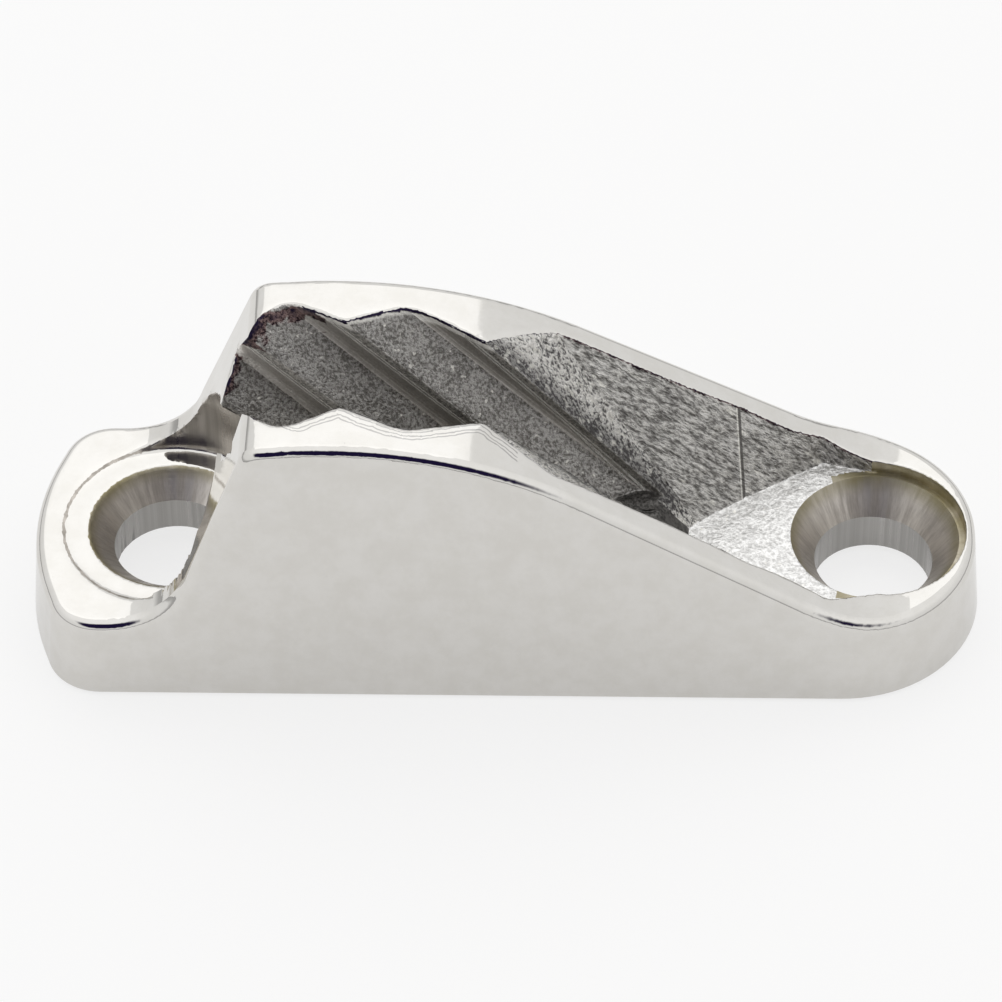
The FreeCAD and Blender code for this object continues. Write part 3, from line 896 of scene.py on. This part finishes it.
# %% Marks of the cutter
STREAK_SLANT = 0.05
STREAKS_AROUND = 7.0
RINGS_PER_MM = 6.0
cutter_marks, given, result = new_group("cutter_marks", [
    ("Place", "NodeSocketVector", (0.0, 0.0, 0.0))], ["Streak", "Ring", "Radius"])
tree = cutter_marks
parts = parts_of(tree, given.outputs["Place"])
rear_side = chain(tree, parts["X"], ("GREATER_THAN", 0.0))
screw_x = blend_values(tree, rear_side, FRONT_SCREW_X, REAR_SCREW_X)
off_x = chain(tree, parts["X"], ("SUBTRACT", screw_x))
square_y = chain(tree, parts["Y"], ("POWER", 2.0))
radius = chain(tree, off_x, ("POWER", 2.0), ("ADD", square_y), ("SQRT", None))
around = vector_of(tree, chain(tree, off_x, ("DIVIDE", radius)),
                   chain(tree, parts["Y"], ("DIVIDE", radius)),
                   chain(tree, radius, ("MULTIPLY", STREAK_SLANT)))
join(tree, noise_at(tree, around, STREAKS_AROUND, 4.0, 0.7), result.inputs["Streak"])
lathe = vector_of(tree, chain(tree, radius, ("MULTIPLY", RINGS_PER_MM)),
                  chain(tree, parts["Z"], ("MULTIPLY", RINGS_PER_MM)))
join(tree, noise_at(tree, lathe, 1.0, 2.0, 0.6), result.inputs["Ring"])
join(tree, radius, result.inputs["Radius"])
print("groups", [group.name for group in bpy.data.node_groups])

# %% Material helpers
def start_metal(name):
    """A metal with a vector in mm, ready to be dressed."""
    material, tree, shader = new_material(name)
    shader.inputs["Metallic"].default_value = 1.0
    coordinates = add_node(tree, "ShaderNodeTexCoord")
    in_mm = add_node(tree, "ShaderNodeMapping", {"Scale": (1 / MM, 1 / MM, 1 / MM)})
    join(tree, coordinates.outputs["Object"], in_mm.inputs["Vector"])
    return material, tree, shader, in_mm.outputs[0]


def kept_gap(tree, name):
    """One of the distances kept on the mesh, in mm."""
    return add_node(tree, "ShaderNodeAttribute", attribute_name=name).outputs["Fac"]


def use_group(tree, group, place, values=None):
    box = add_node(tree, "ShaderNodeGroup", node_tree=group)
    join(tree, place, box.inputs["Place"])
    for key, value in (values or {}).items():
        box.inputs[key].default_value = value
    return box.outputs


def bump_from(tree, shader, height, depth_mm):
    bump = add_node(tree, "ShaderNodeBump", {"Strength": 1.0, "Distance": depth_mm * MM})
    join(tree, height, bump.inputs["Height"])
    join(tree, bump.outputs[0], shader.inputs["Normal"])


# %% [markdown]
# ## The polished outside
#
# Mirror polish on stainless is never quite a mirror: the wheel leaves a slow swell and hair-fine
# marks that fog it slightly. Both are kept very faint, because the real cleat's sides are almost
# even in tone. On top of the near jaw, three fine dark lines along the lip are painted reflections
# of the top's slight rounding there. They are far too fine for geometry, so the material draws them from
# the distance to the lip.

# %% Polished
POLISH_DARK = (0.69, 0.674, 0.64)
POLISH_LIGHT = (0.726, 0.712, 0.684)
STAIN_LIMITS = (0.3, 0.7)
POLISH_ROUGHNESS = (0.035, 0.09)
HAZE_LIMITS = (0.3, 0.75)
SWELL_DEPTH = 0.012
# Three dark lines along the near jaw's lip: painted reflections of the top's slight rounding there.
REFLECTION_LINE_ROWS = (0.42, 0.78, 1.05)
REFLECTION_LINE_EDGE = (0.01, 0.09)
REFLECTION_LINE_SHARE = 0.5
REFLECTION_LINE_WANDER = 0.5
REFLECTION_LINE_WAVES_PER_MM = 0.6
PAINTED_REFLECTION_COLOUR = (0.16, 0.155, 0.16)
REFLECTION_LINE_END_X = 1.0


def painted_reflection_lines(tree, place):
    """A mask of painted reflection lines along the near jaw's lip."""
    parts = parts_of(tree, place)
    before_ramp = chain(tree, parts["X"], ("LESS_THAN", REFLECTION_LINE_END_X))
    on_near_jaw = chain(tree, parts["Y"], ("LESS_THAN", 0.0), ("MULTIPLY", before_ramp))
    wander = chain(tree, noise_at(tree, place, REFLECTION_LINE_WAVES_PER_MM, 2.0), ("SUBTRACT", 0.5),
                   ("MULTIPLY", REFLECTION_LINE_WANDER), ("ADD", kept_gap(tree, "lip_gap")))
    traces = []
    for row in REFLECTION_LINE_ROWS:
        off_row = chain(tree, wander, ("SUBTRACT", row), ("ABSOLUTE", None))
        traces.append(fade(tree, off_row, *REFLECTION_LINE_EDGE, REFLECTION_LINE_SHARE, 0.0))
    rows = chain(tree, traces[0], *[("MAXIMUM", trace) for trace in traces[1:]])
    return chain(tree, rows, ("MULTIPLY", on_near_jaw))


material, tree, shader, place = start_metal("polished")
wheel = use_group(tree, polish_marks, place)
metal = blend_colours(tree, fade(tree, wheel["Tone"], *STAIN_LIMITS), POLISH_DARK, POLISH_LIGHT)
# Painted reflection lines along the lip.
metal = blend_colours(tree, painted_reflection_lines(tree, place), metal, PAINTED_REFLECTION_COLOUR)
join(tree, metal, shader.inputs["Base Color"])
join(tree, fade(tree, wheel["Haze"], *HAZE_LIMITS, *POLISH_ROUGHNESS), shader.inputs["Roughness"])
bump_from(tree, shader, wheel["Height"], SWELL_DEPTH)
casting_mesh.materials.append(material)
print("polished nodes", len(tree.nodes))

# %% [markdown]
# ## The cast groove
#
# The six cast finishes are one recipe with other numbers: dark pebbled metal with a few bright
# flecks, a near-black line of painted shade along the lip with soot on the fronts of the jaws, a
# painted highlight band below the lip, crests worn bright by rope, and painted highlight lines on
# the risers. The bright places are dull white rather than mirrors, so they are given less metal.

# %% Dials of the cast finishes
def cast_look(dark, light, **dials):
    """Two colours and the dials of one finish, where those not named keep the usual values.

    tones: where between its limits the noise turns from dark to light. pebbles: per mm. depth: of
    the pebbles, in mm. flecks: the limit above which a speck shines. line: width of the painted shade
    and soot line in mm. torn: how ragged it is. shine and band: strength and width of the painted highlight
    band below it.
    """
    usual = {"tones": (0.0, 1.0), "rough": 0.28, "pebbles": 4.5, "depth": 0.06, "flecks": 0.66,
             "line": 0.05, "torn": 0.2, "shine": 0.0, "band": 0.3}
    return {"dark": dark, "light": light, **usual, **dials}


CAST_LOOKS = {
    "cast_ridge": cast_look((0.17, 0.162, 0.15), (0.48, 0.466, 0.445), tones=(0.1, 0.9), rough=0.32,
                            depth=0.10, line=0.2, shine=0.6),
    "cast_riser": cast_look((0.56, 0.535, 0.50), (0.68, 0.655, 0.62), rough=0.55, depth=0.012,
                            flecks=0.8, line=0.26, shine=1.0, band=0.7),
    "cast_shoulder": cast_look((0.13, 0.125, 0.125), (0.98, 0.96, 0.92), tones=(0.12, 0.64),
                               pebbles=5.5, depth=0.34, flecks=0.6, line=0.06),
    "cast_wall": cast_look((0.16, 0.154, 0.145), (0.70, 0.685, 0.655), tones=(0.05, 0.95),
                           pebbles=4.0, depth=0.24, line=0.16, torn=0.5),
    "cast_root": cast_look((0.05, 0.048, 0.045), (0.17, 0.163, 0.155), rough=0.5, flecks=0.8),
    "mouth_floor": cast_look((0.58, 0.574, 0.56), (0.93, 0.925, 0.91), rough=0.34, pebbles=3.2,
                             depth=0.08),
}
print("cast finishes", list(CAST_LOOKS))

# %% Colour of the cast skin
# Bright colour of real wear and flecks, and of painted highlights.
WORN_AND_HIGHLIGHT = (0.92, 0.90, 0.84)
FLECK_SHARE = 0.7
NEIGHBOURS = {"cast_shoulder": "cast_wall", "cast_wall": "cast_shoulder"}
MEETING_WANDER = 2.4
MEETING_REACH = (-0.6, 1.0)
MEETING_SHARE = 0.8
# The ridge's pebbles run over the crest and a little way down the riser, painted paler there as painted
# light, since the riser faces down.
PEBBLES_END = (0.8, 1.0)
PEBBLES_WANDER = 0.5
PEBBLES_PAINTED_LIGHT_GAIN = 1.7
# The shoulder is darker beside the last ridge.
SHADE_REACH = (0.3, 1.9)
SHADE_DEPTH = 0.7


def blend_looks(tree, share, look, other, gain=1.0):
    """Both colours of one look, running into those of another."""
    return [blend_colours(tree, share, look[key], tuple(gain * value for value in other[key]))
            for key in ("dark", "light")]


def cast_skin(tree, name, look, grain, gaps):
    """The bare colour of a cast finish, and how deep its pebbles are."""
    pebble = chain(tree, grain["Height"], ("SUBTRACT", 0.5))
    tone = fade(tree, grain["Tone"], *look["tones"])
    dark, light, depth = look["dark"], look["light"], look["depth"]
    if name in NEIGHBOURS:
        wander = chain(tree, pebble, ("MULTIPLY", MEETING_WANDER), ("ADD", gaps["join_gap"]))
        share = fade(tree, wander, *MEETING_REACH, MEETING_SHARE, 0.0)
        dark, light = blend_looks(tree, share, look, CAST_LOOKS[NEIGHBOURS[name]])
    if name == "cast_riser":
        ridge = CAST_LOOKS["cast_ridge"]
        wander = chain(tree, pebble, ("MULTIPLY", PEBBLES_WANDER), ("ADD", gaps["crest_gap"]))
        share = fade(tree, wander, *PEBBLES_END, 1.0, 0.0)
        dark, light = blend_looks(tree, share, look, ridge, PEBBLES_PAINTED_LIGHT_GAIN)
        depth = blend_values(tree, share, depth, ridge["depth"])
    if name == "cast_shoulder":
        shade = fade(tree, gaps["crest_gap"], *SHADE_REACH, SHADE_DEPTH, 0.0)
        tone = chain(tree, tone, ("SUBTRACT", shade))
    skin = blend_colours(tree, tone, dark, light)
    flecks = chain(tree, grain["Fleck"], ("MULTIPLY", FLECK_SHARE))
    return blend_colours(tree, flecks, skin, WORN_AND_HIGHLIGHT), tone, depth


print("neighbours", NEIGHBOURS)

# %% Worn crest lines and painted highlight lines
# Painted highlight lines down the riser: distance from the crest in mm, and strength.
RISER_HIGHLIGHTS = [(1.0, 1.0), (1.36, 0.6)]
LINE_EDGE = (0.05, 0.14)
CREST_EDGE = (0.04, 0.11)
CREST_SHINE = 0.2
# A painted highlight along the valley.
VALLEY_EDGE = (0.04, 0.1)
VALLEY_SHINE = 0.15
BREAKS = (0.15, 0.6)
BREAK_SHARE = 0.5
# The bright band below the lip is a painted highlight.
BAND_EDGE = 0.05


def worn_and_highlight_lines(tree, name, grain, gaps):
    """A mask of bright lines: the crest, worn bright by rope, and painted highlights on the riser and along
    its valley.
    """
    worn_and_highlight = fade(tree, gaps["crest_gap"], *CREST_EDGE, CREST_SHINE, 0.0)
    if name == "cast_riser":
        for middle, shine in RISER_HIGHLIGHTS:
            off_line = chain(tree, gaps["crest_gap"], ("SUBTRACT", middle), ("ABSOLUTE", None))
            worn_and_highlight = chain(tree, worn_and_highlight, ("MAXIMUM", fade(tree, off_line, *LINE_EDGE, shine, 0.0)))
        valley = fade(tree, gaps["join_gap"], *VALLEY_EDGE, VALLEY_SHINE, 0.0)
        worn_and_highlight = chain(tree, worn_and_highlight, ("MAXIMUM", valley))
    return chain(tree, worn_and_highlight, ("MULTIPLY", fade(tree, grain["Tone"], *BREAKS, BREAK_SHARE, 1.0)))


def highlight_band_under_lip(tree, look, off_lip):
    """A mask of the painted highlight band below the painted shade line along the lip."""
    line, band = look["line"], look["band"]
    upper = fade(tree, off_lip, line, line + BAND_EDGE)
    lower = fade(tree, off_lip, line + band / 2, line + band, look["shine"], 0.0)
    return chain(tree, upper, ("MULTIPLY", lower))


print("worn lines below the crest in mm", [middle for middle, shine in RISER_HIGHLIGHTS])

# %% Painted shade and soot, and the painted crease
# Near-black colour: painted shade along the lip, and soot on the fronts of the jaws.
SHADE_AND_SOOT = (0.022, 0.016, 0.04)
SHADE_AND_SOOT_EDGE = (-0.06, 0.02)
BURNT_DARK = (0.018, 0.011, 0.016)
BURNT_LIGHT = (0.27, 0.19, 0.18)
BURNT_FROM_EDGE = (0.02, 0.1)
BURNT_FROM_LIP = (0.3, 0.6)
CREASE_FOOT_X = 16.75
CREASE_LEAN = 0.09
# The crease is painted: a painted highlight line and a painted shade line behind it.
CREASE_HIGHLIGHT_SPAN = (-0.22, -0.1)
CREASE_SHADE_SPAN = (-0.1, -0.04)
CREASE_END = (0.1, 0.16)
CREASE_HIGHLIGHT_SHARE = 0.8


def shade_and_soot_colour(tree, tone, gaps):
    """Nearly black at the edge, as painted shade along the lip and soot on the jaw fronts, and mottled
    brown where soot is burnt on further in.
    """
    off_edge = fade(tree, gaps["shade_and_soot_gap"], *BURNT_FROM_EDGE)
    share = chain(tree, fade(tree, gaps["lip_gap"], *BURNT_FROM_LIP), ("MULTIPLY", off_edge))
    return blend_colours(tree, share, SHADE_AND_SOOT, blend_colours(tree, tone, BURNT_DARK, BURNT_LIGHT))


def crease_gap(tree, place):
    """How far behind the upright crease in the mouth's wall a point lies, in mm."""
    parts = parts_of(tree, place)
    leaning = chain(tree, parts["Z"], ("SUBTRACT", MOUTH_FLOOR_Z), ("MULTIPLY", CREASE_LEAN))
    return chain(tree, parts["X"], ("ADD", leaning), ("SUBTRACT", CREASE_FOOT_X))


def paint_crease_light(tree, place, skin, look):
    """Paint the crease as a painted highlight line with a painted shade line behind it."""
    behind_crease = crease_gap(tree, place)
    crease_highlight = blend_colours(tree, fade(tree, behind_crease, *CREASE_HIGHLIGHT_SPAN, 0.0, CREASE_HIGHLIGHT_SHARE), skin, WORN_AND_HIGHLIGHT)
    crease_shaded = blend_colours(tree, fade(tree, behind_crease, *CREASE_SHADE_SPAN), crease_highlight, look["dark"])
    return blend_colours(tree, fade(tree, behind_crease, *CREASE_END), crease_shaded, skin)


print("crease at the floor in mm", CREASE_FOOT_X)

# %% Cast finishes
# Bump, roughness and metal of the worn crests and the painted highlight lines.
WORN_AND_HIGHLIGHT_HEIGHT = 0.14
WORN_AND_HIGHLIGHT_ROUGHNESS = 0.5
WORN_AND_HIGHLIGHT_METAL = 0.1


def dress_cast(name, look):
    material, tree, shader, place = start_metal(name)
    way, squeeze = STROKES.get(name, NO_STROKE)
    grain = use_group(tree, cast_grain, place, {"Pebbles per mm": look["pebbles"], "Flecks": look["flecks"],
                                                "Stroke": way, "Squeeze": squeeze})
    gaps = {mark: kept_gap(tree, mark) for mark in MARKS}
    skin, tone, depth = cast_skin(tree, name, look, grain, gaps)
    tear = chain(tree, grain["Height"], ("SUBTRACT", 0.5), ("MULTIPLY", look["torn"]))
    off_shade_and_soot = chain(tree, tear, ("ADD", gaps["shade_and_soot_gap"]))
    off_lip = chain(tree, tear, ("ADD", gaps["lip_gap"]))
    worn_and_highlight = worn_and_highlight_lines(tree, name, grain, gaps)
    # Bright: crests worn by rope, and painted highlights on the riser, its valley and below the lip.
    bright = chain(tree, worn_and_highlight, ("MAXIMUM", highlight_band_under_lip(tree, look, off_lip)))
    skin = blend_colours(tree, bright, skin, WORN_AND_HIGHLIGHT)
    if name == "cast_wall":
        skin = paint_crease_light(tree, place, skin, look)
    # A near-black line: painted shade along the lip, and soot on the fronts of the jaws.
    shade_and_soot_mask = fade(tree, off_shade_and_soot, look["line"] + SHADE_AND_SOOT_EDGE[0], look["line"] + SHADE_AND_SOOT_EDGE[1], 1.0, 0.0)
    join(tree, blend_colours(tree, shade_and_soot_mask, skin, shade_and_soot_colour(tree, tone, gaps)), shader.inputs["Base Color"])
    join(tree, blend_values(tree, bright, look["rough"], WORN_AND_HIGHLIGHT_ROUGHNESS), shader.inputs["Roughness"])
    join(tree, fade(tree, bright, 0.0, 1.0, 1.0, WORN_AND_HIGHLIGHT_METAL), shader.inputs["Metallic"])
    stands = chain(tree, worn_and_highlight, ("MULTIPLY", WORN_AND_HIGHLIGHT_HEIGHT))
    bump_from(tree, shader, chain(tree, grain["Height"], ("MULTIPLY", depth), ("ADD", stands)), 1.0)
    return material


for name in GRAINY:
    casting_mesh.materials.append(dress_cast(name, CAST_LOOKS[name]))
print("cast materials", len(GRAINY))

# %% [markdown]
# ## Screw seats
#
# The countersinks were cut with a tool that chattered a little: fine streaks fan out from the hole,
# and the metal is tinted olive and brown where polishing paste has dried near the rim. Streaks this
# fine are drawn by a noise that runs around the screw, not by cuts in the mesh.

# %% Turned finishes
# Dark and light colour, roughness, and strength of the olive tint.
TURNED_LOOKS = {
    "turned_sink": ((0.44, 0.405, 0.37), (0.74, 0.70, 0.65), 0.42, 1.6),
    "bore": ((0.39, 0.38, 0.365), (0.465, 0.455, 0.44), 0.3, 0.0),
    "recess": ((0.34, 0.315, 0.28), (0.50, 0.465, 0.425), 0.3, 0.0),
}
OLIVE = (0.36, 0.32, 0.20)
STAIN_WIDTH = 0.9
STREAK_LIMITS = (0.3, 0.7)
STREAK_ROUGHER, STREAK_FINER = 0.1, 0.06
PATCHES_PER_MM = 0.35
CUT_DEPTH = 0.01


def dress_turned(name, dark, light, rough, tint):
    material, tree, shader, place = start_metal(name)
    cut = use_group(tree, cutter_marks, place)
    metal = blend_colours(tree, fade(tree, cut["Streak"], *STREAK_LIMITS), dark, light)
    patchy = noise_at(tree, place, PATCHES_PER_MM, 3.0)
    near_rim = chain(tree, fade(tree, cut["Radius"], SINK_RADIUS - STAIN_WIDTH, SINK_RADIUS),
                     ("MULTIPLY", patchy), ("MULTIPLY", tint))
    join(tree, blend_colours(tree, near_rim, metal, OLIVE), shader.inputs["Base Color"])
    streaky = fade(tree, cut["Streak"], *STREAK_LIMITS, rough + STREAK_ROUGHER, rough - STREAK_FINER)
    join(tree, streaky, shader.inputs["Roughness"])
    bump_from(tree, shader, chain(tree, cut["Streak"], ("ADD", cut["Ring"])), CUT_DEPTH)
    return material


for name, look in TURNED_LOOKS.items():
    casting_mesh.materials.append(dress_turned(name, *look))
print("materials", [material.name for material in casting_mesh.materials])
